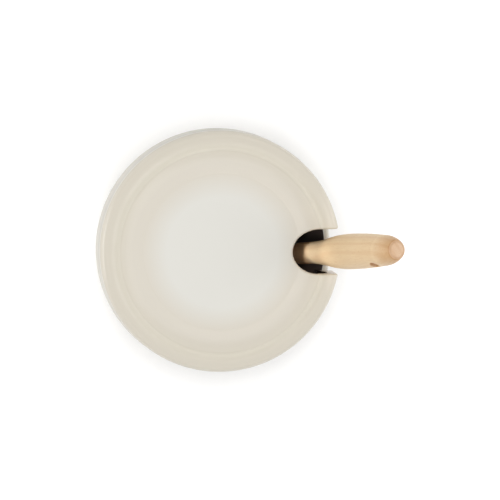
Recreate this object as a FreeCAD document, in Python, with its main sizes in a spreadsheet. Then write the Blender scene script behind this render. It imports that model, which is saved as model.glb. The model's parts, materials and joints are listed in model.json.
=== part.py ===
"""A small lidded saucepan with a basting brush standing in it, in millimetres.

The pan and its cap-like lid are turned about +Z, with the pan's base on Z = 0. The lid has a U-shaped slot
towards +X. The brush leans out of the pan through that slot; its pieces share one tilted frame, whose own Z
runs up the brush and whose origin is where the brush's axis crosses the plane of the pan's rim.
"""

import FreeCAD, Part
import math
import os
import re

import Sketcher

SIZES = {
    # pan
    "rim_height": 75.0,
    "rim_outer_radius": 78.3,
    "rim_width": 4.3,
    "rim_round": 2.0,
    "wall_flare": 8.3,
    "wall_at_heel": 4.2,
    "heel_round": 15.0,
    "floor_thickness": 5.0,
    "floor_round": 12.0,
    "foot_inset": 19.0,
    "recess_width": 7.0,
    "recess_depth": 0.8,
    "recess_slope": 1.0,
    # lid: insets go inwards from the shoulder, rises go up from it
    "seat_gap": 0.3,
    "lid_overhang": 3.2,
    "skirt_round": 1.2,
    "skirt_draft": 1.5,
    "skirt_wall": 5.8,
    "shoulder_height": 27.0,
    "shoulder_curve": 4.6,
    "crown_rise": 9.5,
    "inner_groove_inset": 28.0,
    "inner_groove_rise": 7.2,
    "middle_groove_inset": 12.5,
    "middle_groove_rise": 5.6,
    "outer_groove_inset": 4.0,
    "outer_groove_rise": 4.0,
    "inner_rib_curve": 40.0,
    "outer_rib_curve": 14.0,
    "groove_round": 2.5,
    "plate_thickness": 4.6,
    "ceiling_inset": 14.0,
    "ceiling_chamfer": 5.0,
    "haunch_low": 4.0,
    "haunch_high": 12.0,
    "flange_depth": 5.0,
    "flange_width": 3.0,
    "flange_gap": 1.2,
    # slot in the lid, from the skirt inwards
    "slot_depth": 34.6,
    "slot_end_length": 18.3,
    "slot_half_width": 14.9,
    "slot_round": 1.3,
    # brush: its place against the rim
    "brush_lean": 22.0,
    "brush_swing": 12.75,
    "brush_offset": 3.0,
    "brush_gap": 0.35,
    # handle: drops go down from the plane of the rim, along the brush
    "neck_radius": 7.5,
    "neck_drop": 1.5,
    "belly_radius": 11.7,
    "swell_length": 51.5,
    "swell_share": 0.5,
    "taper_length": 38.0,
    "end_radius": 10.0,
    "end_curve": 32.0,
    "end_length": 15.2,
    "tip_radius": 6.0,
    "tip_crown": 0.9,
    "tip_round": 1.8,
    "hang_radius": 3.3,
    "hang_inset": 20.0,
    "hang_turn": -33.0,
    "hang_round": 0.5,
    "tenon_radius": 6.6,
    "tenon_drop": 16.0,
    "tenon_length": 12.0,
    # ferrule, stem and pin: insets go down from the top of the tenon
    "fit": 0.05,
    "ferrule_length": 21.0,
    "crimp_inset": 4.0,
    "crimp_depth": 0.35,
    "crimp_length": 2.0,
    "stem_radius": 2.0,
    "stem_reach": 10.0,
    "stem_length": 41.0,
    "pin_radius": 1.0,
    "pin_inset": 8.5,
    # head
    "head_width": 23.6,
    "head_depth": 14.0,
    "head_neck_length": 8.0,
    "head_block_length": 6.0,
    "bristle_radius": 1.0,
    "bristle_spread": 19.2,
    "bristle_row_pitch": 3.3,
}
BRISTLE_COLUMNS = 7

# Places that follow from the sizes. The stations lie along the brush, from the plane of the rim.
RIM_INNER = "(rim_outer_radius - rim_width)"
HEEL = "(rim_outer_radius - wall_flare)"
FOOT = f"({HEEL} - foot_inset)"
SEAT = "(rim_height + seat_gap)"
SKIRT = "(rim_outer_radius + lid_overhang)"
SHOULDER = f"({SKIRT} - skirt_draft)"
SHOULDER_TOP = "(rim_height + shoulder_height)"
FLANGE = f"({RIM_INNER} - flange_gap)"
SLOT_CENTRE = f"({SKIRT} - slot_depth + slot_end_length)"
NECK_TOP = "(-neck_drop)"
BELLY = "(swell_length - neck_drop)"
END = f"({BELLY} + taper_length)"
TIP = f"({END} + end_length)"
TENON_TOP = "(-tenon_drop)"
TENON_BOTTOM = "(-tenon_drop - tenon_length)"
FERRULE_BOTTOM = "(-tenon_drop - ferrule_length)"
CRIMP = "(-tenon_drop - crimp_inset)"
PIN = "(-tenon_drop - pin_inset)"
STEM_TOP = "(stem_reach - tenon_drop)"
STEM_BOTTOM = f"({STEM_TOP} - stem_length)"
HEAD_SHOULDER = f"({FERRULE_BOTTOM} - head_neck_length)"
BLOCK_BOTTOM = f"({HEAD_SHOULDER} - head_block_length)"

doc = FreeCAD.newDocument("saucepan")
sheet = doc.addObject("Spreadsheet::Sheet", "Sizes")
for row, (alias, size) in enumerate(SIZES.items(), start=1):
    sheet.set(f"A{row}", alias)
    sheet.set(f"B{row}", str(size))
    sheet.setAlias(f"B{row}", alias)
working = doc.addObject("Spreadsheet::Sheet", "Working")
doc.recompute()


def bound(text):
    """The expression text with each size's name pointed at the sheet."""
    return re.sub(r"[a-z_]+", lambda word: f"Sizes.{word[0]}" if word[0] in SIZES else word[0], text)


def value(text):
    """The number that an expression in the sizes comes to, worked out in a cell of a second sheet."""
    working.set("A1", "=" + bound(text))
    working.recompute()
    return float(working.get("A1"))


def plane(body, role):
    return next(feature for feature in body.Origin.OriginFeatures if feature.Role == role)


def new_body(name):
    body = doc.addObject("PartDesign::Body", name)
    body.Label = name
    return body


def new_sketch(body, name, role, height="0", turn="0"):
    """A sketch on one of the body's origin planes, lifted along its normal and turned about its own Y."""
    sketch = body.newObject("Sketcher::SketchObject", name)
    sketch.AttachmentSupport = (plane(body, role), [""])
    sketch.MapMode = "FlatFace"
    lifted = FreeCAD.Vector(0, 0, value(height))
    turned = FreeCAD.Rotation(FreeCAD.Vector(0, 1, 0), value(turn))
    sketch.AttachmentOffset = FreeCAD.Placement(lifted, turned)
    if height != "0":
        sketch.setExpression("AttachmentOffset.Base.z", bound(height))
    return sketch


def dimension(sketch, kind, *where, size):
    """Adds a dimension to the sketch and ties it to an expression in the sizes."""
    index = sketch.addConstraint(Sketcher.Constraint(kind, *where, value(size)))
    sketch.setExpression(f"Constraints[{index}]", bound(size))


def pin_point(sketch, geometry, end, across, up):
    """Holds a point of the sketch at (across, up) from the sketch's origin."""
    for kind, size, axis in (("DistanceX", across, -2), ("DistanceY", up, -1)):
        if size == "0":
            sketch.addConstraint(Sketcher.Constraint("PointOnObject", geometry, end, axis))
        else:
            dimension(sketch, kind, -1, 1, geometry, end, size=size)


def arc_between(start, end, radius, side):
    """An arc of that radius from start to end, bulging to the left (side 1) or right (side -1) of the way."""
    along = end - start
    half = along.Length / 2
    left = FreeCAD.Vector(-along.y, along.x, 0).normalize()
    centre = (start + end) / 2 - left * math.sqrt(radius**2 - half**2) * side
    first, last = (end, start) if side > 0 else (start, end)
    angles = [math.atan2(point.y - centre.y, point.x - centre.x) for point in (first, last)]
    if angles[1] < angles[0]:
        angles[1] += 2 * math.pi
    return Part.ArcOfCircle(Part.Circle(centre, FreeCAD.Vector(0, 0, 1), radius), *angles)


def profile(sketch, corners):
    """A closed outline. Each corner is (across, up) or (across, up, arc radius, side): the edge that leaves
    the corner is then an arc of that radius, bulging to that side."""
    points = [FreeCAD.Vector(value(corner[0]), value(corner[1]), 0) for corner in corners]
    for index, corner in enumerate(corners):
        start, end = points[index], points[(index + 1) % len(points)]
        if len(corner) == 2:
            sketch.addGeometry(Part.LineSegment(start, end))
        else:
            sketch.addGeometry(arc_between(start, end, value(corner[2]), corner[3]))
    ends = []
    for index, corner in enumerate(corners):
        geometry = sketch.Geometry[index]
        first = geometry.StartPoint.isEqual(points[index], 1e-6)
        ends.append((1, 2) if first else (2, 1))
    for index, corner in enumerate(corners):
        following = (index + 1) % len(corners)
        sketch.addConstraint(
            Sketcher.Constraint("Coincident", index, ends[index][1], following, ends[following][0])
        )
        pin_point(sketch, index, ends[index][0], corner[0], corner[1])
        if len(corner) == 4:
            dimension(sketch, "Radius", index, size=corner[2])


def revolve(body, name, corners):
    sketch = new_sketch(body, f"{name}_profile", "XZ_Plane")
    profile(sketch, corners)
    turned = body.newObject("PartDesign::Revolution", name)
    turned.Profile = sketch
    turned.ReferenceAxis = (sketch, ["V_Axis"])
    turned.Angle = 360
    sketch.Visibility = False
    doc.recompute()
    return turned


def circle_edges(feature, radius, height):
    """The names of the feature's circular edges of that radius, centred on its axis at that height."""
    names = []
    for index, edge in enumerate(feature.Shape.Edges, start=1):
        if edge.Degenerated or not isinstance(edge.Curve, Part.Circle):
            continue
        if abs(edge.Curve.Radius - radius) < 1e-4 and abs(edge.Curve.Center.z - height) < 1e-4:
            names.append(f"Edge{index}")
    return names


def round_edges(body, base, name, edges, radius):
    """Fillets the named edges of the feature base."""
    fillet = body.newObject("PartDesign::Fillet", name)
    fillet.Base = (base, edges)
    fillet.Radius = value(radius)
    fillet.setExpression("Radius", bound(radius))
    doc.recompute()
    return fillet


def round_rings(body, base, name, rings, radius):
    """Fillets the circular edges at each (radius, height) of rings."""
    edges = []
    for ring_radius, height in rings:
        edges += circle_edges(base, value(ring_radius), value(height))
    return round_edges(body, base, name, edges, radius)


def tangent_curve(rise, run):
    """The radius of an arc that leaves one end along the run and has risen by rise at the other end."""
    return f"(({run})^2 + ({rise})^2) / (2 * ({rise}))"


def pan_body():
    """The pan: a turned wall with a rounded rim, a rounded heel and a flat base with a shallow recess."""
    body = new_body("pan_body")
    floor_edge = f"{HEEL} - wall_at_heel"
    shell = revolve(body, "pan_shell", [
        ("0", "0"),
        (f"{FOOT} - recess_width", "0"),
        (f"{FOOT} - recess_width + recess_slope", "recess_depth"),
        (f"{FOOT} - recess_slope", "recess_depth"),
        (FOOT, "0"),
        (HEEL, "0"),
        ("rim_outer_radius", "rim_height"),
        (RIM_INNER, "rim_height"),
        (floor_edge, "floor_thickness"),
        ("0", "floor_thickness"),
    ])
    rim_edges = [("rim_outer_radius", "rim_height"), (RIM_INNER, "rim_height")]
    rim = round_rings(body, shell, "rim_fillet", rim_edges, "rim_round")
    heel = round_rings(body, rim, "heel_fillet", [(HEEL, "0")], "heel_round")
    round_rings(body, heel, "floor_fillet", [(floor_edge, "floor_thickness")], "floor_round")
    return body


def groove(ring):
    """The radius and height of one of the crown's grooves."""
    return f"{SHOULDER} - {ring}_groove_inset", f"{SHOULDER_TOP} + {ring}_groove_rise"


def lid():
    """The lid: a ribbed crown on a deep skirt, a flange that locates it in the pan, and an open slot."""
    body = new_body("lid")
    inner, middle, outer = groove("inner"), groove("middle"), groove("outer")
    crown_curve = tangent_curve("crown_rise - inner_groove_rise", inner[0])
    inner_wall = f"{SHOULDER} - skirt_wall"
    flange_inner = f"{FLANGE} - flange_width"
    shell = revolve(body, "lid_shell", [
        ("0", f"{SHOULDER_TOP} + crown_rise", crown_curve, 1),
        (*inner, "inner_rib_curve", 1),
        (*middle, "outer_rib_curve", 1),
        (*outer, "shoulder_curve", 1),
        (SHOULDER, SHOULDER_TOP),
        (SKIRT, SEAT),
        (FLANGE, SEAT),
        (FLANGE, f"{SEAT} - flange_depth"),
        (flange_inner, f"{SEAT} - flange_depth"),
        (flange_inner, f"{SEAT} + haunch_low"),
        (inner_wall, f"{SEAT} + haunch_high"),
        (inner_wall, f"{SHOULDER_TOP} - ceiling_chamfer"),
        (f"{SHOULDER} - ceiling_inset", SHOULDER_TOP),
        ("0", f"{SHOULDER_TOP} + crown_rise - plate_thickness"),
    ])
    ribs = round_rings(body, shell, "groove_fillet", [inner, middle, outer], "groove_round")
    foot = round_rings(body, ribs, "skirt_fillet", [(SKIRT, SEAT)], "skirt_round")
    outline = new_sketch(body, "slot_outline", "XY_Plane")
    slot_outline(outline)
    slot = body.newObject("PartDesign::Pocket", "lid_slot")
    slot.Profile = outline
    slot.Type = "ThroughAll"
    slot.Reversed = True
    outline.Visibility = False
    doc.recompute()
    if slot.Shape.Volume > foot.Shape.Volume - 1:
        raise RuntimeError("the slot cuts nothing")
    round_edges(body, slot, "slot_fillet", slot_edges(slot), "slot_round")
    return body


def slot_edges(feature):
    """The names of the slot's edges on the lid's outside, from one foot of the skirt to the other."""
    length, half_width = value("slot_end_length"), value("slot_half_width")
    centre, shoulder, shoulder_top = value(SLOT_CENTRE), value(SHOULDER), value(SHOULDER_TOP)
    names = []
    for index, edge in enumerate(feature.Shape.Edges, start=1):
        if edge.Degenerated:
            continue
        middle = edge.valueAt((edge.FirstParameter + edge.LastParameter) / 2)
        wall = (min(middle.x - centre, 0) / length) ** 2 + (middle.y / half_width) ** 2
        outside = middle.z > shoulder_top or math.hypot(middle.x, middle.y) > shoulder
        if abs(wall - 1) < 1e-3 and outside:
            names.append(f"Edge{index}")
    return names


def slot_outline(sketch):
    """A U open towards +X: half an ellipse at the inner end, and straight sides out past the skirt."""
    length, half_width = value("slot_end_length"), value("slot_half_width")
    centre = FreeCAD.Vector(value(SLOT_CENTRE), 0, 0)
    mouth = value(f"{SKIRT} * 2")
    ellipse = Part.Ellipse(centre, length, half_width)
    end = sketch.addGeometry(Part.ArcOfEllipse(ellipse, math.pi / 2, 3 * math.pi / 2))
    corners = [
        FreeCAD.Vector(centre.x, -half_width, 0),
        FreeCAD.Vector(mouth, -half_width, 0),
        FreeCAD.Vector(mouth, half_width, 0),
        FreeCAD.Vector(centre.x, half_width, 0),
    ]
    sides = [sketch.addGeometry(Part.LineSegment(a, b)) for a, b in zip(corners, corners[1:])]
    sketch.exposeInternalGeometry(end)
    major, minor = end + 4, end + 5
    sketch.addConstraint([
        Sketcher.Constraint("Coincident", end, 2, sides[0], 1),
        Sketcher.Constraint("Coincident", sides[0], 2, sides[1], 1),
        Sketcher.Constraint("Coincident", sides[1], 2, sides[2], 1),
        Sketcher.Constraint("Coincident", sides[2], 2, end, 1),
        Sketcher.Constraint("Horizontal", sides[0]),
        Sketcher.Constraint("Vertical", sides[1]),
        Sketcher.Constraint("Horizontal", sides[2]),
        Sketcher.Constraint("PointOnObject", end, 3, -1),
        Sketcher.Constraint("Vertical", end, 1, end, 3),
        Sketcher.Constraint("Horizontal", major),
    ])
    dimension(sketch, "Distance", major, size="2 * slot_end_length")
    dimension(sketch, "Distance", minor, size="2 * slot_half_width")
    dimension(sketch, "DistanceX", -1, 1, end, 3, size=SLOT_CENTRE)
    dimension(sketch, "DistanceX", -1, 1, sides[0], 2, size=f"{SKIRT} * 2")


def circle_sketch(body, name, role, centre, radius, height="0", turn="0"):
    sketch = new_sketch(body, name, role, height, turn)
    point = FreeCAD.Vector(value(centre[0]), value(centre[1]), 0)
    sketch.addGeometry(Part.Circle(point, FreeCAD.Vector(0, 0, 1), value(radius)))
    pin_point(sketch, 0, 3, *centre)
    dimension(sketch, "Radius", 0, size=radius)
    sketch.Visibility = False
    return sketch


def cross_hole(body, name, station, radius, turn="0"):
    """A round hole straight through the body, across its axis at that station."""
    before = body.Tip.Shape.Volume
    sketch = circle_sketch(body, f"{name}_circle", "XZ_Plane", ("0", station), radius, turn=turn)
    hole = body.newObject("PartDesign::Pocket", name)
    hole.Profile = sketch
    hole.Type = "ThroughAll"
    hole.Midplane = True
    doc.recompute()
    if hole.Shape.Volume > before - 1:
        raise RuntimeError(f"{name} cuts nothing")
    return hole


def mouth_edges(feature, radius):
    """The names of the edges where the round hole of that radius comes out of the feature's surface."""
    names = []
    for face in feature.Shape.Faces:
        if not isinstance(face.Surface, Part.Cylinder) or abs(face.Surface.Radius - value(radius)) > 1e-6:
            continue
        rims = [edge for edge in face.Edges if not edge.isSeam(face)]
        for index, edge in enumerate(feature.Shape.Edges, start=1):
            if any(edge.isSame(rim) for rim in rims):
                names.append(f"Edge{index}")
    return names


def brush_handle():
    """The turned wooden handle: tenon, neck, belly and rounded end, with a stem bore and a hanging hole."""
    body = new_body("brush_handle")
    swell_radius = "neck_radius + swell_share * (belly_radius - neck_radius)"
    swell_station = f"{NECK_TOP} + swell_share * swell_length"
    flare = tangent_curve("swell_share * (belly_radius - neck_radius)", "swell_share * swell_length")
    rest = "(1 - swell_share)"
    belly = tangent_curve(f"{rest} * (belly_radius - neck_radius)", f"{rest} * swell_length")
    taper = tangent_curve("belly_radius - end_radius", "taper_length")
    crown = tangent_curve("tip_crown", "tip_radius")
    bore = "stem_radius + fit"
    bore_top = f"{STEM_TOP} + fit"
    turning = revolve(body, "handle_turning", [
        (bore, TENON_BOTTOM),
        ("tenon_radius", TENON_BOTTOM),
        ("tenon_radius", TENON_TOP),
        ("neck_radius", TENON_TOP),
        ("neck_radius", NECK_TOP, flare, 1),
        (swell_radius, swell_station, belly, -1),
        ("belly_radius", BELLY, taper, -1),
        ("end_radius", END, "end_curve", -1),
        ("tip_radius", TIP, crown, -1),
        ("0", f"{TIP} + tip_crown"),
        ("0", bore_top),
        (bore, bore_top),
    ])
    round_rings(body, turning, "tip_fillet", [("tip_radius", TIP)], "tip_round")
    cross_hole(body, "pin_hole", PIN, "pin_radius + fit")
    hanging = cross_hole(body, "hanging_hole", f"{TIP} - hang_inset", "hang_radius", turn="hang_turn")
    round_edges(body, hanging, "hanging_hole_fillet", mouth_edges(hanging, "hang_radius"), "hang_round")
    return body


def brush_ferrule():
    """The steel ferrule: a thin tube over the tenon and the head's plug, with one rolled crimp."""
    body = new_body("brush_ferrule")
    inside = "tenon_radius + fit"
    top = f"{TENON_TOP} - fit"
    crimp = tangent_curve("crimp_depth", "crimp_length / 2")
    revolve(body, "ferrule_tube", [
        (inside, FERRULE_BOTTOM),
        ("neck_radius", FERRULE_BOTTOM),
        ("neck_radius", f"{CRIMP} - crimp_length / 2", crimp, 1),
        ("neck_radius", f"{CRIMP} + crimp_length / 2"),
        ("neck_radius", top),
        (inside, top),
    ])
    cross_hole(body, "ferrule_pin_hole", PIN, "pin_radius + fit")
    return body


def brush_stem():
    """The steel stem from inside the handle to inside the brush head, drilled for the pin."""
    body = new_body("brush_stem")
    revolve(body, "stem_turning", [
        ("0", STEM_BOTTOM),
        ("stem_radius", STEM_BOTTOM),
        ("stem_radius", STEM_TOP),
        ("0", STEM_TOP),
    ])
    cross_hole(body, "stem_pin_hole", PIN, "pin_radius + fit")
    return body


def ferrule_pin():
    """The steel pin across the ferrule, tenon and stem."""
    pin = doc.addObject("Part::Cylinder", "ferrule_pin")
    pin.Label = "ferrule_pin"
    pin.setExpression("Radius", bound("pin_radius"))
    pin.setExpression("Height", bound("2 * neck_radius"))
    return pin


def stadium(sketch, width, depth):
    """A slot-shaped outline, width by depth over all, centred on the sketch's origin."""
    radius, reach = value(depth) / 2, value(f"({width} - {depth}) / 2")
    normal = FreeCAD.Vector(0, 0, 1)
    right = FreeCAD.Vector(0, reach, 0)
    left = FreeCAD.Vector(0, -reach, 0)
    sketch.addGeometry([
        Part.ArcOfCircle(Part.Circle(right, normal, radius), 0, math.pi),
        Part.ArcOfCircle(Part.Circle(left, normal, radius), math.pi, 2 * math.pi),
        Part.LineSegment(FreeCAD.Vector(-radius, reach, 0), FreeCAD.Vector(-radius, -reach, 0)),
        Part.LineSegment(FreeCAD.Vector(radius, -reach, 0), FreeCAD.Vector(radius, reach, 0)),
    ])
    sketch.addConstraint([
        Sketcher.Constraint("Tangent", 0, 2, 2, 1),
        Sketcher.Constraint("Tangent", 2, 2, 1, 1),
        Sketcher.Constraint("Tangent", 1, 2, 3, 1),
        Sketcher.Constraint("Tangent", 3, 2, 0, 1),
        Sketcher.Constraint("Equal", 0, 1),
        Sketcher.Constraint("PointOnObject", 0, 3, -2),
        Sketcher.Constraint("Symmetric", 0, 3, 1, 3, -1, 1),
    ])
    dimension(sketch, "Radius", 0, size=f"{depth} / 2")
    dimension(sketch, "DistanceY", 1, 3, 0, 3, size=f"{width} - {depth}")
    sketch.Visibility = False
    return sketch


def brush_tip():
    """The station where the bristles end: just clear of the pan's floor at the lowest row's lower edge."""
    drop = "rim_height - floor_thickness - brush_gap - (bristle_row_pitch + bristle_radius) * sin(brush_lean)"
    return f"-({drop}) / cos(brush_lean)"


def brush_head():
    """The moulded silicone head: a round plug in the ferrule, a flat block, and three rows of bristles."""
    body = new_body("brush_head")
    plug = circle_sketch(body, "plug_circle", "XY_Plane", ("0", "0"), "tenon_radius", f"{TENON_BOTTOM} - fit")
    plug_pad = body.newObject("PartDesign::Pad", "plug_pad")
    plug_pad.Profile = plug
    plug_pad.Reversed = True
    plug_pad.setExpression("Length", bound(f"{TENON_BOTTOM} - {FERRULE_BOTTOM}"))
    doc.recompute()
    collar_top = f"{FERRULE_BOTTOM} - fit"
    collar = circle_sketch(body, "collar_circle", "XY_Plane", ("0", "0"), "neck_radius", collar_top)
    waist = stadium(new_sketch(body, "waist_outline", "XY_Plane", HEAD_SHOULDER), "head_width", "head_depth")
    shoulder = body.newObject("PartDesign::AdditiveLoft", "head_loft")
    shoulder.Profile = collar
    shoulder.Sections = [waist]
    doc.recompute()
    foot = stadium(new_sketch(body, "block_outline", "XY_Plane", HEAD_SHOULDER), "head_width", "head_depth")
    block = body.newObject("PartDesign::Pad", "head_block")
    block.Profile = foot
    block.Reversed = True
    block.setExpression("Length", bound("head_block_length"))
    doc.recompute()
    bristle_rows(body)
    before = body.Shape.Volume
    around, below = "stem_radius + fit", f"{STEM_BOTTOM} - fit"
    stem_hole = circle_sketch(body, "stem_circle", "XY_Plane", ("0", "0"), around, below)
    bore = body.newObject("PartDesign::Pocket", "stem_bore")
    bore.Profile = stem_hole
    bore.Type = "ThroughAll"
    bore.Reversed = True
    doc.recompute()
    if bore.Shape.Volume > before - 1:
        raise RuntimeError("the stem bore cuts nothing")
    return body


def bristle_rows(body):
    """One column of three bristles, repeated across the head's width."""
    sketch = new_sketch(body, "bristle_circles", "XY_Plane", BLOCK_BOTTOM)
    column = value("-bristle_spread / 2")
    for row in (-1, 0, 1):
        centre = FreeCAD.Vector(value("bristle_row_pitch") * row, column, 0)
        circle = sketch.addGeometry(Part.Circle(centre, FreeCAD.Vector(0, 0, 1), value("bristle_radius")))
        pin_point(sketch, circle, 3, f"bristle_row_pitch * {row}" if row else "0", "-bristle_spread / 2")
        dimension(sketch, "Radius", circle, size="bristle_radius")
    sketch.Visibility = False
    pad = body.newObject("PartDesign::Pad", "bristle_column")
    pad.Profile = sketch
    pad.Reversed = True
    pad.setExpression("Length", bound(f"{BLOCK_BOTTOM} - ({brush_tip()})"))
    doc.recompute()
    pattern = body.newObject("PartDesign::LinearPattern", "bristle_columns")
    pattern.Originals = [pad]
    pattern.Direction = (sketch, ["V_Axis"])
    pattern.Length = value("bristle_spread")
    pattern.setExpression("Length", bound("bristle_spread"))
    pattern.Occurrences = BRISTLE_COLUMNS
    body.Tip = pattern
    doc.recompute()


def brush_frame():
    """The brush's place: its neck leans on the rounded inside of the rim, and its top is swung towards +Y."""
    lean = math.radians(value("brush_lean"))
    rim_inner, round_radius = value(RIM_INNER), value("rim_round")
    wall_run = rim_inner - value(f"{HEEL} - wall_at_heel")
    wall_tilt = math.atan2(wall_run, value("rim_height - floor_thickness"))
    ring_radius = rim_inner - round_radius * math.tan(wall_tilt) + round_radius / math.cos(wall_tilt)
    aside = -value("brush_offset")
    ring_across = math.sqrt(ring_radius**2 - aside**2)
    reach = value("neck_radius + brush_gap") + round_radius
    across = ring_across - (reach - round_radius * math.sin(lean)) / math.cos(lean)
    leaned = FreeCAD.Rotation(FreeCAD.Vector(0, 1, 0), value("brush_lean"))
    swung = FreeCAD.Rotation(FreeCAD.Vector(0, 0, 1), value("brush_swing"))
    return FreeCAD.Placement(FreeCAD.Vector(across, aside, value("rim_height")), swung.multiply(leaned))


pieces = [pan_body(), lid()]
brush = [brush_handle(), brush_ferrule(), brush_stem(), brush_head()]
frame = brush_frame()
for piece in brush:
    piece.Placement = frame
pin = ferrule_pin()
crosswise = FreeCAD.Placement(
    FreeCAD.Vector(0, value("neck_radius"), value(PIN)),
    FreeCAD.Rotation(FreeCAD.Vector(1, 0, 0), 90),
)
pin.Placement = frame.multiply(crosswise)
pieces += brush + [pin]
doc.recompute()

for item in doc.Objects:
    if "Invalid" in item.State or "Error" in item.State:
        raise RuntimeError(f"{item.Label} failed: {item.State}")
for piece in pieces:
    if piece.Shape.isNull() or not piece.Shape.isValid():
        raise RuntimeError(f"{piece.Label} has no valid shape")

os.makedirs("parts", exist_ok=True)
for piece in pieces:
    piece.Shape.exportStep(f"parts/{piece.Label}.step")
    print(piece.Label, len(piece.Shape.Solids), "solid", round(piece.Shape.Volume), "mm3")
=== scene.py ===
"""The looks of a small lidded saucepan with a basting brush standing in it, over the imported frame."""

import json
import math

import bmesh
import bpy
from mathutils import Euler, Matrix, Vector


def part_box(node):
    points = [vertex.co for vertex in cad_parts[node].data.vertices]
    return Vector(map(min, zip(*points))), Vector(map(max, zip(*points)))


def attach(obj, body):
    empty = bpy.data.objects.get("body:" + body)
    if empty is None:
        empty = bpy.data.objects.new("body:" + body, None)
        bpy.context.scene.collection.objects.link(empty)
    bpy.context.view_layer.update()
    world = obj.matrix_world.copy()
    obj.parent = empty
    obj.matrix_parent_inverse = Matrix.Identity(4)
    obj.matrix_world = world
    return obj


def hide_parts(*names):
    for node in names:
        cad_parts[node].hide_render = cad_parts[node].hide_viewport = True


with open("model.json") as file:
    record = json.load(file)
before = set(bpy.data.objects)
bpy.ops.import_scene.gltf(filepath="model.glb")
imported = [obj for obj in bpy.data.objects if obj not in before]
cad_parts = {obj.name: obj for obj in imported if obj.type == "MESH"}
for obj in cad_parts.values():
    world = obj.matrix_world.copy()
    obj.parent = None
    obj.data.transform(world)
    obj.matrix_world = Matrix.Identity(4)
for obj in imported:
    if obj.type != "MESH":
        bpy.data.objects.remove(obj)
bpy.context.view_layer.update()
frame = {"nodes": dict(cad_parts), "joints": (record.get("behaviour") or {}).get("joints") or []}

MM = 0.001

# places taken from the frame
RIM_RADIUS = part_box("pan_body")[1].y
PAN_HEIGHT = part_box("pan_body")[1].z
LID_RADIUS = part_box("lid")[1].y
LID_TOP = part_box("lid")[1].z
BRUSH_AXIS = Vector(next(joint["axis"] for joint in frame["joints"] if joint["name"] == "brush_pull"))
STEM_LOW, STEM_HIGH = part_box("brush_stem")
STEM_CENTRE = (STEM_LOW + STEM_HIGH) / 2
BRUSH_LEAN = math.acos(BRUSH_AXIS.z)
BRUSH_SWING = math.atan2(BRUSH_AXIS.y, BRUSH_AXIS.x)
# the brush's own frame: its origin is the middle of the stem, Z runs up the brush and Y across its width
BRUSH_TURN = (0, BRUSH_LEAN, BRUSH_SWING)
BRUSH_PLACE = Matrix.Translation(STEM_CENTRE) @ Euler(BRUSH_TURN).to_matrix().to_4x4()


def brush_extents(node):
    """The lowest and highest corners of a CAD node in the brush's own frame."""
    back = BRUSH_PLACE.inverted()
    corners = [back @ vertex.co for vertex in frame["nodes"][node].data.vertices]
    low = Vector(min(corner[axis] for corner in corners) for axis in range(3))
    high = Vector(max(corner[axis] for corner in corners) for axis in range(3))
    return low, high


FERRULE_LOW, FERRULE_HIGH = brush_extents("brush_ferrule")
HEAD_LOW, HEAD_HIGH = brush_extents("brush_head")
SHAFT_LOW, SHAFT_HIGH = brush_extents("brush_stem")

# ---------------------------------------------------------------- nodes

EASED = {"interpolation_type": "SMOOTHSTEP"}
# a Mix node's sockets go by place: 0 is its share, 2 and 3 are its numbers, 6 and 7 are its colours
NUMBERS = {"out": 0, "data_type": "FLOAT"}
COLOURS = {"out": 2, "data_type": "RGBA"}
MULTIPLIED = {"out": 2, "data_type": "RGBA", "blend_type": "MULTIPLY"}


def srgb(code):
    """An sRGB hex colour as the linear colour that shaders take."""
    channels = [int(code[start:start + 2], 16) / 255 for start in (1, 3, 5)]
    return [c / 12.92 if c <= 0.04045 else ((c + 0.055) / 1.055) ** 2.4 for c in channels] + [1.0]


def add(tree, kind, inputs=(), out=None, stops=(), **settings):
    """Adds a node with its settings, its ramp's stops of hex colours, and its inputs, by name or in order.
    An input is a value or another node's output. Returns the output called out, or else the first one."""
    node = tree.nodes.new(kind)
    for name, setting in settings.items():
        setattr(node, name, setting)
    for index, (place, code) in enumerate(stops):
        fresh = index >= len(node.color_ramp.elements)
        element = node.color_ramp.elements.new(place) if fresh else node.color_ramp.elements[index]
        element.position = place
        element.color = srgb(code)
    for socket, source in inputs.items() if isinstance(inputs, dict) else enumerate(inputs):
        if isinstance(source, bpy.types.NodeSocket):
            tree.links.new(source, node.inputs[socket])
        else:
            node.inputs[socket].default_value = source
    if out is not None:
        return node.outputs[out]
    return next((output for output in node.outputs if output.enabled), None)


def new_material(name):
    material = bpy.data.materials.new(name)
    material.use_nodes = True
    material.node_tree.nodes.clear()
    return material, material.node_tree


# ---------------------------------------------------------------- enamelled pan and lid

ENAMEL_BLACK = "#281C15"
ENAMEL_IOR = 1.52
OUTSIDE_ROUGHNESS = 0.24
INSIDE_ROUGHNESS = 0.40
ORANGE_PEEL = 2.2 * MM
PEEL_DEPTH = 0.05 * MM
CLOUD = 24 * MM
CLOUD_SHARE = 0.02


def from_axis(tree, place):
    """Where a place is across the pan, how far from the pan's axis, and how high."""
    split = add(tree, "ShaderNodeSeparateXYZ", [place]).node.outputs
    across = add(tree, "ShaderNodeCombineXYZ", [split["X"], split["Y"]])
    radius = add(tree, "ShaderNodeVectorMath", [across], out="Value", operation="LENGTH")
    return across, radius, split["Z"]


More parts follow.
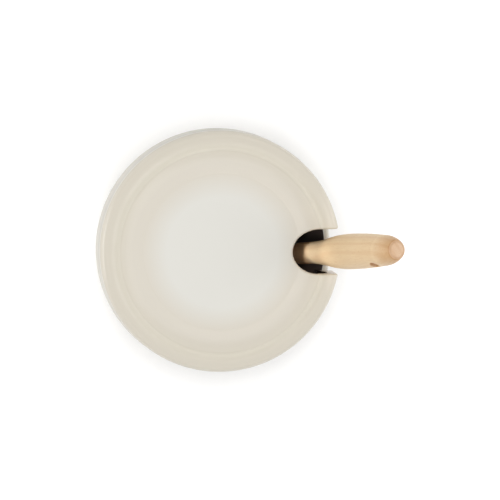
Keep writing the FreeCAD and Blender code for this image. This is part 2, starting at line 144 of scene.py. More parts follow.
def enamel_skin(tree, place, share):
    """Glass enamel sprayed and fired on iron: a share of a tone ramp that drifts with a faint cloud, and the
    normal of a shallow orange peel."""
    cloud = add(tree, "ShaderNodeTexNoise", {"Vector": place, "Scale": 1 / CLOUD, "Detail": 2.0})
    lowered = add(tree, "ShaderNodeMath", [share, CLOUD_SHARE / 2], operation="SUBTRACT")
    drift = add(tree, "ShaderNodeMath", [cloud, CLOUD_SHARE, lowered], operation="MULTIPLY_ADD")
    peel = add(tree, "ShaderNodeTexNoise", {"Vector": place, "Scale": 1 / ORANGE_PEEL, "Detail": 1.0})
    normal = add(tree, "ShaderNodeBump", {"Height": peel, "Strength": 0.12, "Distance": PEEL_DEPTH})
    return drift, normal


DOME_FLOOR = LID_TOP - 11.5 * MM
LID_BORE = 72.5 * MM
FOOT_EDGE = LID_RADIUS - 1.2 * MM
SKIRT_EDGE = LID_RADIUS - 1.8 * MM
SKIRT_TOP = LID_TOP - 9.0 * MM
SKIRT_ROUGHNESS = 0.5
# the crown's two inner pressed rings, as shares of the lid's radius
LID_SHOULDER = LID_RADIUS - 1.5 * MM
INNER_RING = (LID_SHOULDER - 28.0 * MM) / LID_RADIUS
MIDDLE_RING = (LID_SHOULDER - 12.5 * MM) / LID_RADIUS
IVORY = "#DCDAD2"
CREAM = "#DCD5C6"
INNER_RING_SHADE_SAND = "#D5CEC0"
MIDDLE_RING_SHADE_SAND = "#D1CAB9"
# the tone from the lid's middle, 0, to its edge, 1: ivory, then cream, with sandier bands along the pressed
# rings that are painted shade
LID_TONES = [
    (0.45, IVORY),
    (INNER_RING, INNER_RING_SHADE_SAND),
    (INNER_RING + 0.08, INNER_RING_SHADE_SAND),
    (MIDDLE_RING - 0.02, CREAM),
    (MIDDLE_RING + 0.01, MIDDLE_RING_SHADE_SAND),
    (MIDDLE_RING + 0.03, MIDDLE_RING_SHADE_SAND),
    (MIDDLE_RING + 0.06, CREAM),
]


# painted shade: the skirt's greyer tone up from the pan's rim, 0, to SKIRT_TOP, 1, darkest just under the
# shoulder
SKIRT_SHADE_TONES = [(0.10, "#D3CFC4"), (0.40, "#D7D3C8"), (0.62, "#D1CDC2"), (0.85, "#C7C3B9")]


def lid_enamel():
    """Cream vitreous enamel, glossy: ivory in the middle, sandier towards the edge, with painted shade in
    darker bands along the pressed rings, greyer and duller on the skirt, over a black underside."""
    material, tree = new_material("lid_vitreous_enamel")
    here = add(tree, "ShaderNodeTexCoord").node.outputs
    across, radius, height = from_axis(tree, here["Object"])
    share = add(tree, "ShaderNodeMath", [radius, LID_RADIUS], operation="DIVIDE")
    drift, normal = enamel_skin(tree, here["Object"], share)
    # painted shade: the crown's tone darkens in bands along the pressed rings
    crown_tone = add(tree, "ShaderNodeValToRGB", [drift], stops=LID_TONES)
    # painted shade: the skirt's tone greys towards its top, under the shoulder
    up_skirt = add(tree, "ShaderNodeMapRange", [height, PAN_HEIGHT, SKIRT_TOP])
    shaded_skirt_tone = add(tree, "ShaderNodeValToRGB", [up_skirt], stops=SKIRT_SHADE_TONES)
    skirt = add(tree, "ShaderNodeMapRange", [radius, SKIRT_EDGE, SKIRT_EDGE + 0.8 * MM], **EASED)
    tone = add(tree, "ShaderNodeMix", {0: skirt, 6: crown_tone, 7: shaded_skirt_tone}, **COLOURS)
    gloss = add(tree, "ShaderNodeMix", {0: skirt, 2: OUTSIDE_ROUGHNESS, 3: SKIRT_ROUGHNESS}, **NUMBERS)

    # black: faces that look down, inside the skirt's foot
    upward = add(tree, "ShaderNodeSeparateXYZ", [here["Normal"]], out="Z")
    downward = add(tree, "ShaderNodeMapRange", [upward, -0.35, -0.65], **EASED)
    inset = add(tree, "ShaderNodeMapRange", [radius, FOOT_EDGE, FOOT_EDGE - 0.6 * MM], **EASED)
    under = add(tree, "ShaderNodeMath", [downward, inset], operation="MULTIPLY")
    # black: faces that look towards the axis
    away = add(tree, "ShaderNodeVectorMath", [across], operation="NORMALIZE")
    outward = add(tree, "ShaderNodeVectorMath", [here["Normal"], away], out="Value", operation="DOT_PRODUCT")
    inner = add(tree, "ShaderNodeMapRange", [outward, -0.45, -0.75], **EASED)
    # black: whatever hangs in the pan's mouth, and the hollow under the crown
    below_seat = add(tree, "ShaderNodeMapRange", [
        height,
        PAN_HEIGHT + 0.2 * MM,
        PAN_HEIGHT - 0.2 * MM,
    ], **EASED)
    within = add(tree, "ShaderNodeMapRange", [radius, LID_BORE + 0.5 * MM, LID_BORE - 0.5 * MM], **EASED)
    below_dome = add(tree, "ShaderNodeMapRange", [
        height,
        DOME_FLOOR + 0.5 * MM,
        DOME_FLOOR - 0.5 * MM,
    ], **EASED)
    hollow = add(tree, "ShaderNodeMath", [within, below_dome], operation="MULTIPLY")
    dark = under
    for zone in (inner, below_seat, hollow):
        dark = add(tree, "ShaderNodeMath", [dark, zone], operation="MAXIMUM")

    shader = add(tree, "ShaderNodeBsdfPrincipled", {
        "Base Color": add(tree, "ShaderNodeMix", {0: dark, 6: tone, 7: srgb(ENAMEL_BLACK)}, **COLOURS),
        "Roughness": add(tree, "ShaderNodeMix", {0: dark, 2: gloss, 3: INSIDE_ROUGHNESS}, **NUMBERS),
        "Normal": normal,
        "IOR": ENAMEL_IOR,
    })
    add(tree, "ShaderNodeOutputMaterial", {"Surface": shader})
    return material


# the wall's middle leans out by WALL_LEAN for each metre up, and is WALL_AT_RIM inside the edge at the rim
WALL_LEAN = 0.117
WALL_AT_RIM = 2.2 * MM
BLACK_TOP = PAN_HEIGHT - 1.0 * MM
BLACK_FLOOR = 2.2 * MM
FOOT_HEIGHT = 0.35 * MM
FOOT_TONE = "#B9A88C"
FOOT_ROUGHNESS = 0.8
# the tone up the pan's wall, from its foot, 0, to its rim, 1
PAN_TONES = [(0.02, "#D6CEBC"), (0.60, "#DCD5C6"), (0.93, "#DDD7C9"), (0.99, "#E2DFD6")]


def pan_enamel():
    """The same cream enamel outside, sandier down the wall, black inside from just below the rim, and a
    matt foot ring where the pan stands."""
    material, tree = new_material("pan_vitreous_enamel")
    place = add(tree, "ShaderNodeTexCoord", out="Object")
    across, radius, height = from_axis(tree, place)
    share = add(tree, "ShaderNodeMath", [height, PAN_HEIGHT], operation="DIVIDE")
    drift, normal = enamel_skin(tree, place, share)
    tone = add(tree, "ShaderNodeValToRGB", [drift], stops=PAN_TONES)

    wall_at_foot = RIM_RADIUS - WALL_AT_RIM - PAN_HEIGHT * WALL_LEAN
    wall = add(tree, "ShaderNodeMath", [height, WALL_LEAN, wall_at_foot], operation="MULTIPLY_ADD")
    depth = add(tree, "ShaderNodeMath", [wall, radius], operation="SUBTRACT")
    inside = add(tree, "ShaderNodeMapRange", [depth, -0.2 * MM, 0.2 * MM], **EASED)
    lower = add(tree, "ShaderNodeMapRange", [height, BLACK_TOP + 0.5 * MM, BLACK_TOP - 0.5 * MM], **EASED)
    above_floor = add(tree, "ShaderNodeMapRange", [height, BLACK_FLOOR, BLACK_FLOOR + 0.6 * MM], **EASED)
    dark = add(tree, "ShaderNodeMath", [inside, lower], operation="MULTIPLY")
    dark = add(tree, "ShaderNodeMath", [dark, above_floor], operation="MULTIPLY")
    foot = add(tree, "ShaderNodeMapRange", [height, FOOT_HEIGHT + 0.1 * MM, FOOT_HEIGHT - 0.1 * MM], **EASED)

    colour = add(tree, "ShaderNodeMix", {0: dark, 6: tone, 7: srgb(ENAMEL_BLACK)}, **COLOURS)
    gloss = add(tree, "ShaderNodeMix", {0: dark, 2: OUTSIDE_ROUGHNESS, 3: INSIDE_ROUGHNESS}, **NUMBERS)
    shader = add(tree, "ShaderNodeBsdfPrincipled", {
        "Base Color": add(tree, "ShaderNodeMix", {0: foot, 6: colour, 7: srgb(FOOT_TONE)}, **COLOURS),
        "Roughness": add(tree, "ShaderNodeMix", {0: foot, 2: gloss, 3: FOOT_ROUGHNESS}, **NUMBERS),
        "Normal": normal,
        "IOR": ENAMEL_IOR,
    })
    add(tree, "ShaderNodeOutputMaterial", {"Surface": shader})
    return material


# ---------------------------------------------------------------- wooden handle

# for a Mapping node that turns places into the brush's own frame
OWN_FRAME = {"Location": STEM_CENTRE, "Rotation": BRUSH_TURN}
# a wave texture of scale 1 has a ring every tau / 20 metres; these rings are about twice as far apart as
# real ones, so that they show
GROWTH_RING = 5.2 * MM
RING_SCALE = math.tau / (20 * GROWTH_RING)
PITH = (0.03, 0.012, 0)
FLECK = 0.35 * MM
FLECK_STRETCH = 14
FLECK_DEPTH = 0.05 * MM
STREAK = 3 * FLECK
WOOD = "#EDD1A9"
STREAK_TONE = "#E9CBA2"
RING_TONE = "#E7C79D"
FLECK_TONE = "#DFBA8D"
# painted shade: the neck's warmer, darker tint where it sits in shade, from where it starts up the brush
# down to where it is full
NECK_SHADE_TINT = "#F8E0CC"
NECK_SHADE_START = 34 * MM
NECK_SHADE_FULL = 22 * MM
# tints from faces along the grain, 0, over the turn, browner from end grain and painted shade, to the end
# face, 1, paler with a painted highlight
END_GRAIN_SHADE_AND_HIGHLIGHT_TINTS = [(0.05, "#FFFFFF"), (0.35, "#EADCCE"), (0.62, "#D3B592"), (0.95, "#F0E6E8")]
# painted shade: the darker edge round the end face, from where it starts to where it is full
END_EDGE_SHADE_TINT = "#EADFD6"
END_EDGE_SHADE_START = 3.8 * MM
END_EDGE_SHADE_FULL = 5.6 * MM


def oiled_beech():
    """Turned beech, oiled: pale straw with faint growth rings, short darker flecks along the grain and
    browner end grain; the warmer neck and the darker edge round the end face are painted shade."""
    material, tree = new_material("oiled_beech")
    here = add(tree, "ShaderNodeTexCoord").node.outputs
    own = add(tree, "ShaderNodeMapping", {"Vector": here["Object"], **OWN_FRAME}, vector_type="TEXTURE")
    stretched = add(tree, "ShaderNodeVectorMath", [own, (1, 1, 1 / FLECK_STRETCH)], operation="MULTIPLY")
    streak = add(tree, "ShaderNodeTexNoise", {"Vector": stretched, "Scale": 1 / STREAK, "Detail": 4.0})
    fleck = add(tree, "ShaderNodeTexNoise", {"Vector": stretched, "Scale": 1 / FLECK, "Detail": 1.0})
    rings = add(tree, "ShaderNodeTexWave", {
        "Vector": add(tree, "ShaderNodeVectorMath", [own, PITH], operation="ADD"),
        "Scale": RING_SCALE,
        "Distortion": 1.5,
        "Detail": 2.0,
        "Detail Scale": 0.6,
    }, wave_type="RINGS", rings_direction="Z")

    wood = srgb(WOOD)
    for pattern, start, full, tone in (
        (streak, 0.35, 0.7, STREAK_TONE),
        (rings, 0.55, 1.0, RING_TONE),
        (fleck, 0.62, 0.72, FLECK_TONE),
    ):
        share = add(tree, "ShaderNodeMapRange", [pattern, start, full], **EASED)
        wood = add(tree, "ShaderNodeMix", {0: share, 6: wood, 7: srgb(tone)}, **COLOURS)

    height = add(tree, "ShaderNodeSeparateXYZ", [own], out="Z")
    # painted shade: the neck tinted warmer and darker where it sits in the lid's shadow
    neck = add(tree, "ShaderNodeMapRange", [height, NECK_SHADE_START, NECK_SHADE_FULL], **EASED)
    tinted = add(tree, "ShaderNodeMix", {0: 1.0, 6: wood, 7: srgb(NECK_SHADE_TINT)}, **MULTIPLIED)
    wood = add(tree, "ShaderNodeMix", {0: neck, 6: wood, 7: tinted}, **COLOURS)

    along = add(tree, "ShaderNodeVectorMath", [
        here["Normal"],
        BRUSH_AXIS,
    ], out="Value", operation="DOT_PRODUCT")
    # end grain, with painted shade on the turn and a painted highlight on the end face
    end_grain_shade_and_highlight_tint = add(tree, "ShaderNodeValToRGB", [along], stops=END_GRAIN_SHADE_AND_HIGHLIGHT_TINTS)
    wood = add(tree, "ShaderNodeMix", {0: 1.0, 6: wood, 7: end_grain_shade_and_highlight_tint}, **MULTIPLIED)

    across = add(tree, "ShaderNodeVectorMath", [own, (1, 1, 0)], operation="MULTIPLY")
    from_middle = add(tree, "ShaderNodeVectorMath", [across], out="Value", operation="LENGTH")
    # painted shade: a darker edge round the end face
    painted_edge_shade = add(tree, "ShaderNodeMapRange", [from_middle, END_EDGE_SHADE_START, END_EDGE_SHADE_FULL], **EASED)
    end_face = add(tree, "ShaderNodeMapRange", [along, 0.85, 0.95], **EASED)
    painted_edge_shade = add(tree, "ShaderNodeMath", [painted_edge_shade, end_face], operation="MULTIPLY")
    tinted = add(tree, "ShaderNodeMix", {0: 1.0, 6: wood, 7: srgb(END_EDGE_SHADE_TINT)}, **MULTIPLIED)

    shader = add(tree, "ShaderNodeBsdfPrincipled", {
        "Base Color": add(tree, "ShaderNodeMix", {0: painted_edge_shade, 6: wood, 7: tinted}, **COLOURS),
        "Roughness": 0.46,
        "Normal": add(tree, "ShaderNodeBump", {"Height": fleck, "Strength": 0.15, "Distance": FLECK_DEPTH}),
    })
    add(tree, "ShaderNodeOutputMaterial", {"Surface": shader})
    return material


# ---------------------------------------------------------------- steel parts

BRUSH_LINE = 0.35 * MM
BRUSH_LINE_DEPTH = 0.03 * MM
SMUDGE = 9 * MM
DRAW_LINE = 0.3 * MM
DRAW_LINE_STRETCH = 50
DRAW_LINE_DEPTH = 0.02 * MM


def brushed_stainless():
    """Stainless tube brushed on a lathe: a fine grey sheen broken by hair lines that run round it. The lines
    are drawn about three times as coarse as real ones, so that they show."""
    material, tree = new_material("brushed_stainless_steel")
    place = add(tree, "ShaderNodeTexCoord", out="Object")
    own = add(tree, "ShaderNodeMapping", {"Vector": place, **OWN_FRAME}, vector_type="TEXTURE")
    height = add(tree, "ShaderNodeSeparateXYZ", [own], out="Z")
    lines = add(tree, "ShaderNodeTexNoise", {
        "W": height,
        "Scale": 1 / BRUSH_LINE,
        "Detail": 3.0,
    }, noise_dimensions="1D")
    smudge = add(tree, "ShaderNodeTexNoise", {"Vector": place, "Scale": 1 / SMUDGE, "Detail": 2.0})
    share = add(tree, "ShaderNodeMapRange", [lines, 0.35, 0.65], **EASED)
    dull, bright = srgb("#B9B8B5"), srgb("#CFCECB")
    worn = add(tree, "ShaderNodeMath", [lines, 0.16, 0.22], operation="MULTIPLY_ADD")
    normal = add(tree, "ShaderNodeBump", {"Height": lines, "Strength": 0.35, "Distance": BRUSH_LINE_DEPTH})
    shader = add(tree, "ShaderNodeBsdfPrincipled", {
        "Base Color": add(tree, "ShaderNodeMix", {0: share, 6: dull, 7: bright}, **COLOURS),
        "Roughness": add(tree, "ShaderNodeMath", [smudge, 0.08, worn], operation="MULTIPLY_ADD"),
        "Metallic": 1.0,
        "Normal": normal,
    })
    add(tree, "ShaderNodeOutputMaterial", {"Surface": shader})
    return material


def drawn_wire():
    """Bright stainless wire drawn through a die: smooth, with faint lines along its length."""
    material, tree = new_material("drawn_stainless_wire")
    place = add(tree, "ShaderNodeTexCoord", out="Object")
    own = add(tree, "ShaderNodeMapping", {"Vector": place, **OWN_FRAME}, vector_type="TEXTURE")
    drawn_out = add(tree, "ShaderNodeVectorMath", [own, (1, 1, 1 / DRAW_LINE_STRETCH)], operation="MULTIPLY")
    lines = add(tree, "ShaderNodeTexNoise", {"Vector": drawn_out, "Scale": 1 / DRAW_LINE, "Detail": 2.0})
    share = add(tree, "ShaderNodeMapRange", [lines, 0.35, 0.65], **EASED)
    dull, bright = srgb("#BFBEBC"), srgb("#CBCBCA")
    normal = add(tree, "ShaderNodeBump", {"Height": lines, "Strength": 0.2, "Distance": DRAW_LINE_DEPTH})
    shader = add(tree, "ShaderNodeBsdfPrincipled", {
        "Base Color": add(tree, "ShaderNodeMix", {0: share, 6: dull, 7: bright}, **COLOURS),
        "Roughness": add(tree, "ShaderNodeMath", [lines, 0.12, 0.18], operation="MULTIPLY_ADD"),
        "Metallic": 1.0,
        "Normal": normal,
    })
    add(tree, "ShaderNodeOutputMaterial", {"Surface": shader})
    return material


# ---------------------------------------------------------------- silicone head

MOULD_GRAIN = 0.6 * MM
GRAIN_DEPTH = 0.04 * MM
SILICONE_CLOUD = 7 * MM


def moulded_silicone():
    """Cream silicone rubber out of a spark-eroded mould: matt, a little translucent, finely grained."""
    material, tree = new_material("moulded_silicone")
    place = add(tree, "ShaderNodeTexCoord", out="Object")
    grain = add(tree, "ShaderNodeTexNoise", {"Vector": place, "Scale": 1 / MOULD_GRAIN, "Detail": 2.0})
    cloud = add(tree, "ShaderNodeTexNoise", {"Vector": place, "Scale": 1 / SILICONE_CLOUD, "Detail": 2.0})
    share = add(tree, "ShaderNodeMapRange", [cloud, 0.3, 0.7], **EASED)
    pale, deep = srgb("#DCD5C5"), srgb("#D5CDBB")
    shader = add(tree, "ShaderNodeBsdfPrincipled", {
        "Base Color": add(tree, "ShaderNodeMix", {0: share, 6: pale, 7: deep}, **COLOURS),
        "Roughness": add(tree, "ShaderNodeMath", [grain, 0.12, 0.50], operation="MULTIPLY_ADD"),
        "Normal": add(tree, "ShaderNodeBump", {"Height": grain, "Strength": 0.25, "Distance": GRAIN_DEPTH}),
        "IOR": 1.41,
        "Subsurface Weight": 0.15,
        "Subsurface Scale": 1.5 * MM,
    })
    add(tree, "ShaderNodeOutputMaterial", {"Surface": shader})
    return material


PLUG_RADIUS = 6.6 * MM
SHOULDER_DROP = 8 * MM
SHOULDER_STEPS = 10
BLOCK_DROP = 6 * MM
EDGE_ROUND = 1.4 * MM
EDGE_STEPS = 5
FACE_INSET = 2.2 * EDGE_ROUND
SHARP_FROM = math.radians(50)
COLLAR_EDGE = 0.4 * MM
COLLAR_BEVEL = 0.12 * MM
FIT = 0.05 * MM
RING_POINTS = 48
BRISTLE_COLUMNS = 7
BRISTLE_ROWS = 3
BRISTLE_SPREAD = 19.2 * MM
BRISTLE_ROW_PITCH = 3.3 * MM
BRISTLE_ROOT_RADIUS = 1.0 * MM
BRISTLE_TIP_RADIUS = 0.8 * MM
BRISTLE_INSET = 0.5 * MM
SPINE_POINTS = 26
SECTION_POINTS = 12
# just over 1, so that a bristle's tip is blunt and never closes to a point
BLUNT = 1.02
# a fillet where each bristle leaves the block: its width at the root, and how far down it dies away
ROOT_FLARE = 0.5 * MM
ROOT_FLARE_DROP = 0.6 * MM

COLLAR_HEIGHT = FERRULE_LOW.z - FIT
SHOULDER_HEIGHT = COLLAR_HEIGHT - SHOULDER_DROP
BLOCK_HEIGHT = SHOULDER_HEIGHT - BLOCK_DROP


def head_ring(mesh, height, radius, reach):
    """A ring of vertices: a circle where reach is 0, else two half circles that far out to each side."""
    ring = []
    for index in range(RING_POINTS):
        turn = math.tau * (index + 0.5) / RING_POINTS
        side = math.copysign(reach, math.sin(turn))
        ring.append(mesh.verts.new((radius * math.cos(turn), side + radius * math.sin(turn), height)))
    return ring


def head_block(mesh):
    """The head's plug, collar, flared shoulder and block as one closed skin, with the stem's bore in it."""
    neck_radius = FERRULE_HIGH.y
    flat_radius = HEAD_HIGH.x
    flat_reach = HEAD_HIGH.y - HEAD_HIGH.x
    bore_radius = SHAFT_HIGH.x + FIT
    # each ring's height, radius and reach: up the bore, over the plug and down to the block's lower face
    rings = [
        (SHAFT_LOW.z - FIT, bore_radius, 0),
        (HEAD_HIGH.z, bore_radius, 0),
        (HEAD_HIGH.z, PLUG_RADIUS, 0),
        (COLLAR_HEIGHT, PLUG_RADIUS, 0),
        (COLLAR_HEIGHT, neck_radius - COLLAR_EDGE, 0),
        (COLLAR_HEIGHT - COLLAR_BEVEL, neck_radius - COLLAR_BEVEL, 0),
        (COLLAR_HEIGHT - COLLAR_EDGE, neck_radius, 0),
    ]
    for step in range(1, SHOULDER_STEPS + 1):
        share = step / SHOULDER_STEPS
        flare = share * share * (3 - 2 * share)
        radius = neck_radius + (flat_radius - neck_radius) * flare
        height = COLLAR_HEIGHT - COLLAR_EDGE - (SHOULDER_DROP - COLLAR_EDGE) * share
        rings.append((height, radius, flat_reach * flare))
    rings.append((BLOCK_HEIGHT + 2 * EDGE_ROUND, flat_radius, flat_reach))
    for step in range(EDGE_STEPS + 1):
        turn = math.pi / 2 * step / EDGE_STEPS
        radius = flat_radius - EDGE_ROUND * (1 - math.cos(turn))
        rings.append((BLOCK_HEIGHT + EDGE_ROUND * (1 - math.sin(turn)), radius, flat_reach))
    rings.append((BLOCK_HEIGHT, flat_radius - FACE_INSET, flat_reach))
    loops = [head_ring(mesh, *ring) for ring in rings]
    for upper, lower in zip(loops, loops[1:]):
        for index in range(RING_POINTS):
            after = (index + 1) % RING_POINTS
            mesh.faces.new((upper[index], upper[after], lower[after], lower[index]))
    mesh.faces.new(loops[0])
    mesh.faces.new(loops[-1])


# Lean In is in radians for each metre from the middle of the grid, and Stray is in radians
BRISTLE_INPUTS = {
    "Columns": ("NodeSocketInt", BRISTLE_COLUMNS),
    "Rows": ("NodeSocketInt", BRISTLE_ROWS),
    "Spread": ("NodeSocketFloat", BRISTLE_SPREAD),
    "Row Spread": ("NodeSocketFloat", BRISTLE_ROW_PITCH * (BRISTLE_ROWS - 1)),
    "Length": ("NodeSocketFloat", BLOCK_HEIGHT + BRISTLE_INSET - HEAD_LOW.z),
    "Root Radius": ("NodeSocketFloat", BRISTLE_ROOT_RADIUS),
    "Tip Radius": ("NodeSocketFloat", BRISTLE_TIP_RADIUS),
    "Lean In": ("NodeSocketFloat", 0.7),
    "Stray": ("NodeSocketFloat", 0.006),
    "Seed": ("NodeSocketInt", 4),
}


def bristle_tree(material):
    """Geometry nodes that stand a grid of tapered, round-tipped bristles, hanging down from the origin."""
    tree = bpy.data.node_groups.new("bristles", "GeometryNodeTree")
    tree.interface.new_socket("Geometry", in_out="OUTPUT", socket_type="NodeSocketGeometry")
    for name, (kind, default) in BRISTLE_INPUTS.items():
        socket = tree.interface.new_socket(name, in_out="INPUT", socket_type=kind)
        socket.default_value = default
    given = add(tree, "NodeGroupInput").node.outputs

    # the radius down a bristle: a slight taper, a round tip, and a fillet at its root
    share = add(tree, "GeometryNodeSplineParameter")
    eased = add(tree, "ShaderNodeMapRange", [share], **EASED)
    depth = add(tree, "ShaderNodeMath", [eased, given["Length"]], operation="MULTIPLY")
    to_tip = add(tree, "ShaderNodeMath", [given["Length"], depth], operation="SUBTRACT")
    radii = {0: eased, 2: given["Root Radius"], 3: given["Tip Radius"]}
    taper = add(tree, "ShaderNodeMix", radii, **NUMBERS)
    tip_share = add(tree, "ShaderNodeMath", [to_tip, taper], operation="DIVIDE")
    tip_share = add(tree, "ShaderNodeMath", [tip_share, 1], operation="MINIMUM")
    tip_share = add(tree, "ShaderNodeMath", [1, tip_share], operation="SUBTRACT")
    rounded = add(tree, "ShaderNodeMath", [tip_share, tip_share], operation="MULTIPLY")
    rounded = add(tree, "ShaderNodeMath", [BLUNT, rounded], operation="SUBTRACT")
    rounded = add(tree, "ShaderNodeMath", [rounded], operation="SQRT")
    flare = add(tree, "ShaderNodeMath", [depth, -ROOT_FLARE_DROP], operation="DIVIDE")
    flare = add(tree, "ShaderNodeMath", [flare], operation="EXPONENT")
    flare = add(tree, "ShaderNodeMath", [flare, ROOT_FLARE], operation="MULTIPLY")
    radius = add(tree, "ShaderNodeMath", [taper, rounded, flare], operation="MULTIPLY_ADD")

    line = add(tree, "GeometryNodeCurvePrimitiveLine", {"Start": (0, 0, 0), "End": (0, 0, -MM)})
    line = add(tree, "GeometryNodeResampleCurve", {"Curve": line, "Count": SPINE_POINTS})
    drop = add(tree, "ShaderNodeMath", [depth, -1], operation="MULTIPLY")
    drop = add(tree, "ShaderNodeCombineXYZ", {"Z": drop})
    spine = add(tree, "GeometryNodeSetPosition", {"Geometry": line, "Position": drop})
    section = add(tree, "GeometryNodeCurvePrimitiveCircle", {"Resolution": SECTION_POINTS, "Radius": 1.0})
    bristle = add(tree, "GeometryNodeCurveToMesh", {
        "Curve": spine,
        "Profile Curve": section,
        "Scale": radius,
        "Fill Caps": True,
    })
    stand = add(tree, "GeometryNodeMeshGrid", {
        "Size X": given["Row Spread"],
        "Size Y": given["Spread"],
        "Vertices X": given["Rows"],
        "Vertices Y": given["Columns"],
    })

    # each bristle leans towards the middle of the grid, and strays a little
    stray = given["Stray"]
    back_stray = add(tree, "ShaderNodeMath", [stray, -1], operation="MULTIPLY")
    jitter = add(tree, "FunctionNodeRandomValue", {
        "Min": add(tree, "ShaderNodeCombineXYZ", [back_stray, back_stray, back_stray]),
        "Max": add(tree, "ShaderNodeCombineXYZ", [stray, stray, stray]),
        "Seed": given["Seed"],
    }, data_type="FLOAT_VECTOR")
    split = add(tree, "ShaderNodeSeparateXYZ", [add(tree, "GeometryNodeInputPosition")]).node.outputs
    back_lean = add(tree, "ShaderNodeMath", [given["Lean In"], -1], operation="MULTIPLY")
    lean_x = add(tree, "ShaderNodeMath", [split["Y"], back_lean], operation="MULTIPLY")
    lean_y = add(tree, "ShaderNodeMath", [split["X"], given["Lean In"]], operation="MULTIPLY")
    inward = add(tree, "ShaderNodeCombineXYZ", [lean_x, lean_y])
    turn = add(tree, "ShaderNodeVectorMath", [inward, jitter], operation="ADD")
    row = add(tree, "GeometryNodeInstanceOnPoints", {"Points": stand, "Instance": bristle, "Rotation": turn})
    row = add(tree, "GeometryNodeRealizeInstances", {"Geometry": row})
    row = add(tree, "GeometryNodeSetMaterial", {"Geometry": row, "Material": material})
    add(tree, "NodeGroupOutput", {"Geometry": row})
    return tree


def bristle_mesh(material):
    """The bristles as a plain mesh, in the brush's own frame."""
    tree = bristle_tree(material)
    holder = bpy.data.objects.new("bristles", bpy.data.meshes.new("bristles"))
    bpy.context.scene.collection.objects.link(holder)
    rows = holder.modifiers.new("bristles", "NODES")
    rows.node_group = tree
    for socket in tree.interface.items_tree:
        if socket.in_out == "INPUT":
            rows[socket.identifier] = BRISTLE_INPUTS[socket.name][1]
    graph = bpy.context.evaluated_depsgraph_get()
    made = bpy.data.meshes.new_from_object(holder.evaluated_get(graph), depsgraph=graph)
    bpy.data.objects.remove(holder)
    return made


def brush_head_piece():
    """The moulded head as one piece: its block, and its bristles grown out of the block's lower face."""
    material = moulded_silicone()
    bristles = bristle_mesh(material)
    bristles.transform(Matrix.Translation((0, 0, BLOCK_HEIGHT + BRISTLE_INSET)))
    shape = bmesh.new()
    head_block(shape)
    shape.from_mesh(bristles)
    bmesh.ops.recalc_face_normals(shape, faces=shape.faces)
    bmesh.ops.transform(shape, matrix=BRUSH_PLACE, verts=shape.verts)
    mesh = bpy.data.meshes.new("basting_head")
    shape.to_mesh(mesh)
    shape.free()
    mesh.materials.clear()
    mesh.materials.append(material)
    mesh.shade_smooth()
    mesh.set_sharp_from_angle(angle=SHARP_FROM)
    head = bpy.data.objects.new("basting_head", mesh)
    bpy.context.scene.collection.objects.link(head)
    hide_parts("brush_head")
    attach(head, "brush")
    return head


wire = drawn_wire()
for node, material in (
    ("lid", lid_enamel()),
    ("pan_body", pan_enamel()),
    ("brush_handle", oiled_beech()),
    ("brush_ferrule", brushed_stainless()),
    ("brush_stem", wire),
    ("ferrule_pin", wire),
):
    frame["nodes"][node].material_slots[0].material = material
head = brush_head_piece()

# ---------------------------------------------------------------- studio

FLOOR_REACH = 3.0
FLOOR_TONE = "#ECECEC"
# the floor's glow, where white is 1: faint round GLOW_CENTRE, which paints a darker shadow halo round the
# pan, more beyond it, and nearly full far away
GLOW_CENTRE = (15 * MM, -10 * MM, 0)
GLOW_START = 76 * MM
GLOW_END = 106 * MM
SHADOW_GLOW = 0.06
NEAR_GLOW = 0.27
FAR_START = 300 * MM
FAR_END = 1500 * MM
FAR_GLOW = 0.75
WORLD_STRENGTH = 0.452


def background_rays(tree):
    """1 for rays that should meet the plain white background: seen, mirrored or through glass."""
    path = add(tree, "ShaderNodeLightPath").node.outputs
    shown = add(tree, "ShaderNodeMath", [path["Is Camera Ray"], path["Is Glossy Ray"]], operation="MAXIMUM")
    return add(tree, "ShaderNodeMath", [shown, path["Is Transmission Ray"]], operation="MAXIMUM")


def studio_floor():
    """A pale floor that glows to white away from the pan, keeps the pan's shadow, and has a painted shadow
    halo where its glow dips round the pan.
    """
    mesh = bpy.data.meshes.new("floor")
    corners = [(x * FLOOR_REACH, y * FLOOR_REACH, 0) for x, y in ((-1, -1), (1, -1), (1, 1), (-1, 1))]
    mesh.from_pydata(corners, [], [(0, 1, 2, 3)])
    floor = bpy.data.objects.new("floor", mesh)
    bpy.context.scene.collection.objects.link(floor)
    material, tree = new_material("white floor")
    place = add(tree, "ShaderNodeTexCoord", out="Object")
    away = add(tree, "ShaderNodeVectorMath", [place, GLOW_CENTRE], out="Value", operation="DISTANCE")
    # painted shadow: the glow dips round the pan
    near = add(tree, "ShaderNodeMapRange", [away, GLOW_START, GLOW_END, SHADOW_GLOW, NEAR_GLOW], **EASED)
    far = add(tree, "ShaderNodeMapRange", [away, FAR_START, FAR_END, 0.0, FAR_GLOW], **EASED)
    bright = add(tree, "ShaderNodeMath", [near, far], operation="ADD")
    bright = add(tree, "ShaderNodeMath", [bright, background_rays(tree)], operation="MULTIPLY")
    matte = add(tree, "ShaderNodeBsdfDiffuse", {"Color": srgb(FLOOR_TONE)})
    glow = add(tree, "ShaderNodeEmission", {"Strength": bright})
    both = add(tree, "ShaderNodeAddShader", [matte, glow])
    add(tree, "ShaderNodeOutputMaterial", {"Surface": both})
    mesh.materials.append(material)
    return floor


def studio_world():
    """An even white light, with a plain white background for the rays that show it."""
    world = bpy.data.worlds.new("studio")
    bpy.context.scene.world = world
    world.use_nodes = True
    tree = world.node_tree
    tree.nodes.clear()
    dim = add(tree, "ShaderNodeBackground", {"Color": srgb("#FFFFFF"), "Strength": WORLD_STRENGTH})
    white = add(tree, "ShaderNodeBackground", {"Color": srgb("#FFFFFF"), "Strength": 1.0})
    seen = add(tree, "ShaderNodeMixShader", [background_rays(tree), dim, white])
    add(tree, "ShaderNodeOutputWorld", {"Surface": seen})


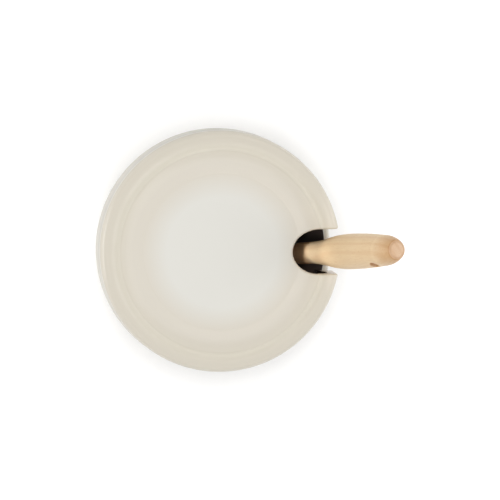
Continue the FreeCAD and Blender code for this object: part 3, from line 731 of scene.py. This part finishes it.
def direction(azimuth, elevation):
    """A unit vector from angles in degrees."""
    turn, rise = math.radians(azimuth), math.radians(elevation)
    return Vector((math.cos(rise) * math.cos(turn), math.cos(rise) * math.sin(turn), math.sin(rise)))


def hang_lamp(name, kind, place, aim, watts, lit=(), **settings):
    """A lamp turned to its aim. Given objects to light, it lights only those, and all cast its shadow."""
    lamp = bpy.data.lights.new(name, kind)
    lamp.energy = watts
    for setting, value in settings.items():
        setattr(lamp, setting, value)
    holder = bpy.data.objects.new(name, lamp)
    holder.location = place
    holder.rotation_euler = (Vector(aim) - Vector(place)).to_track_quat("-Z", "Y").to_euler()
    bpy.context.scene.collection.objects.link(holder)
    if lit:
        chosen = bpy.data.collections.new(f"lit by the {name}")
        for thing in lit:
            chosen.objects.link(thing)
        holder.light_linking.receiver_collection = chosen


CAMERA_TARGET = Vector((19.3 * MM, 1.0 * MM, 102 * MM))
CAMERA_DISTANCE = 1200 * MM
CAMERA_AZIMUTH = 152
CAMERA_ELEVATION = 81.5
CAMERA_ROLL = 0.3
CAMERA_LENS = 130.5
CAMERA_SENSOR = 36


def studio_camera():
    """A long lens almost overhead, with the frame's +Y up in the picture."""
    back = direction(CAMERA_AZIMUTH, CAMERA_ELEVATION)
    up = Vector((0, 1, 0))
    up = (up - up.dot(back) * back).normalized()
    right = up.cross(back)
    roll = math.radians(CAMERA_ROLL)
    rolled_right = math.cos(roll) * right + math.sin(roll) * up
    rolled_up = math.cos(roll) * up - math.sin(roll) * right
    lens = bpy.data.cameras.new("camera")
    lens.lens = CAMERA_LENS
    lens.sensor_width = CAMERA_SENSOR
    camera = bpy.data.objects.new("camera", lens)
    turn = Matrix((rolled_right, rolled_up, back)).transposed().to_4x4()
    camera.matrix_world = Matrix.Translation(CAMERA_TARGET + back * CAMERA_DISTANCE) @ turn
    bpy.context.scene.collection.objects.link(camera)
    bpy.context.scene.camera = camera


MIDDLE = (0, 0, 0.1)
OVERHEAD = (0, 0, 1.7)
LEFT = (-1.36, 0, 0.73)
RIGHT = (1.36, 0, 0.73)
FRONT = (0, -1.36, 0.73)
BACK = (0, 1.36, 0.73)
WIDE_BOX = {"shape": "RECTANGLE", "size": 1.2, "size_y": 1.2}
SIDE_BOX = {"shape": "RECTANGLE", "size": 0.9, "size_y": 0.5}
NECK_MIDDLE = STEM_CENTRE + BRUSH_AXIS * 23.5 * MM
NECK_LAMP_DISTANCE = 0.8
NARROW_BEAM = {"shadow_soft_size": 0.02, "spot_size": math.radians(2.4), "spot_blend": 1.0}
INSIDE = (-8 * MM, -20 * MM, PAN_HEIGHT * 0.75)
BELOW_INSIDE = (-8 * MM, -20 * MM, 0)

pieces = [head, *frame["nodes"].values()]
floor = studio_floor()
studio_world()
hang_lamp("overhead softbox", "AREA", OVERHEAD, MIDDLE, 9.0, **WIDE_BOX)
hang_lamp("left softbox", "AREA", LEFT, MIDDLE, 6.3, pieces, **SIDE_BOX)
hang_lamp("right softbox", "AREA", RIGHT, MIDDLE, 6.2, pieces, **SIDE_BOX)
hang_lamp("left floor light", "AREA", LEFT, MIDDLE, 4.4, [floor], **SIDE_BOX)
hang_lamp("front floor light", "AREA", FRONT, MIDDLE, 9.0, [floor], **SIDE_BOX)
hang_lamp("back floor light", "AREA", BACK, MIDDLE, 9.0, [floor], **SIDE_BOX)
# narrow lamps that reach the handle's neck through the lid's slot
handle = [frame["nodes"]["brush_handle"]]
for name, azimuth, elevation, watts in (("neck lamp", 204, 68, 54.0), ("second neck lamp", 154, 66, 46.0)):
    place = NECK_MIDDLE + direction(azimuth, elevation) * NECK_LAMP_DISTANCE
    hang_lamp(name, "SPOT", place, NECK_MIDDLE, watts, handle, **NARROW_BEAM)
# a faint lamp inside the pan, so that its black enamel shows as a surface and not as a hole
pan = [frame["nodes"]["pan_body"]]
hang_lamp("inside lamp", "POINT", INSIDE, BELOW_INSIDE, 0.13, pan, shadow_soft_size=0.02)
studio_camera()
bpy.context.scene.view_settings.view_transform = "Standard"
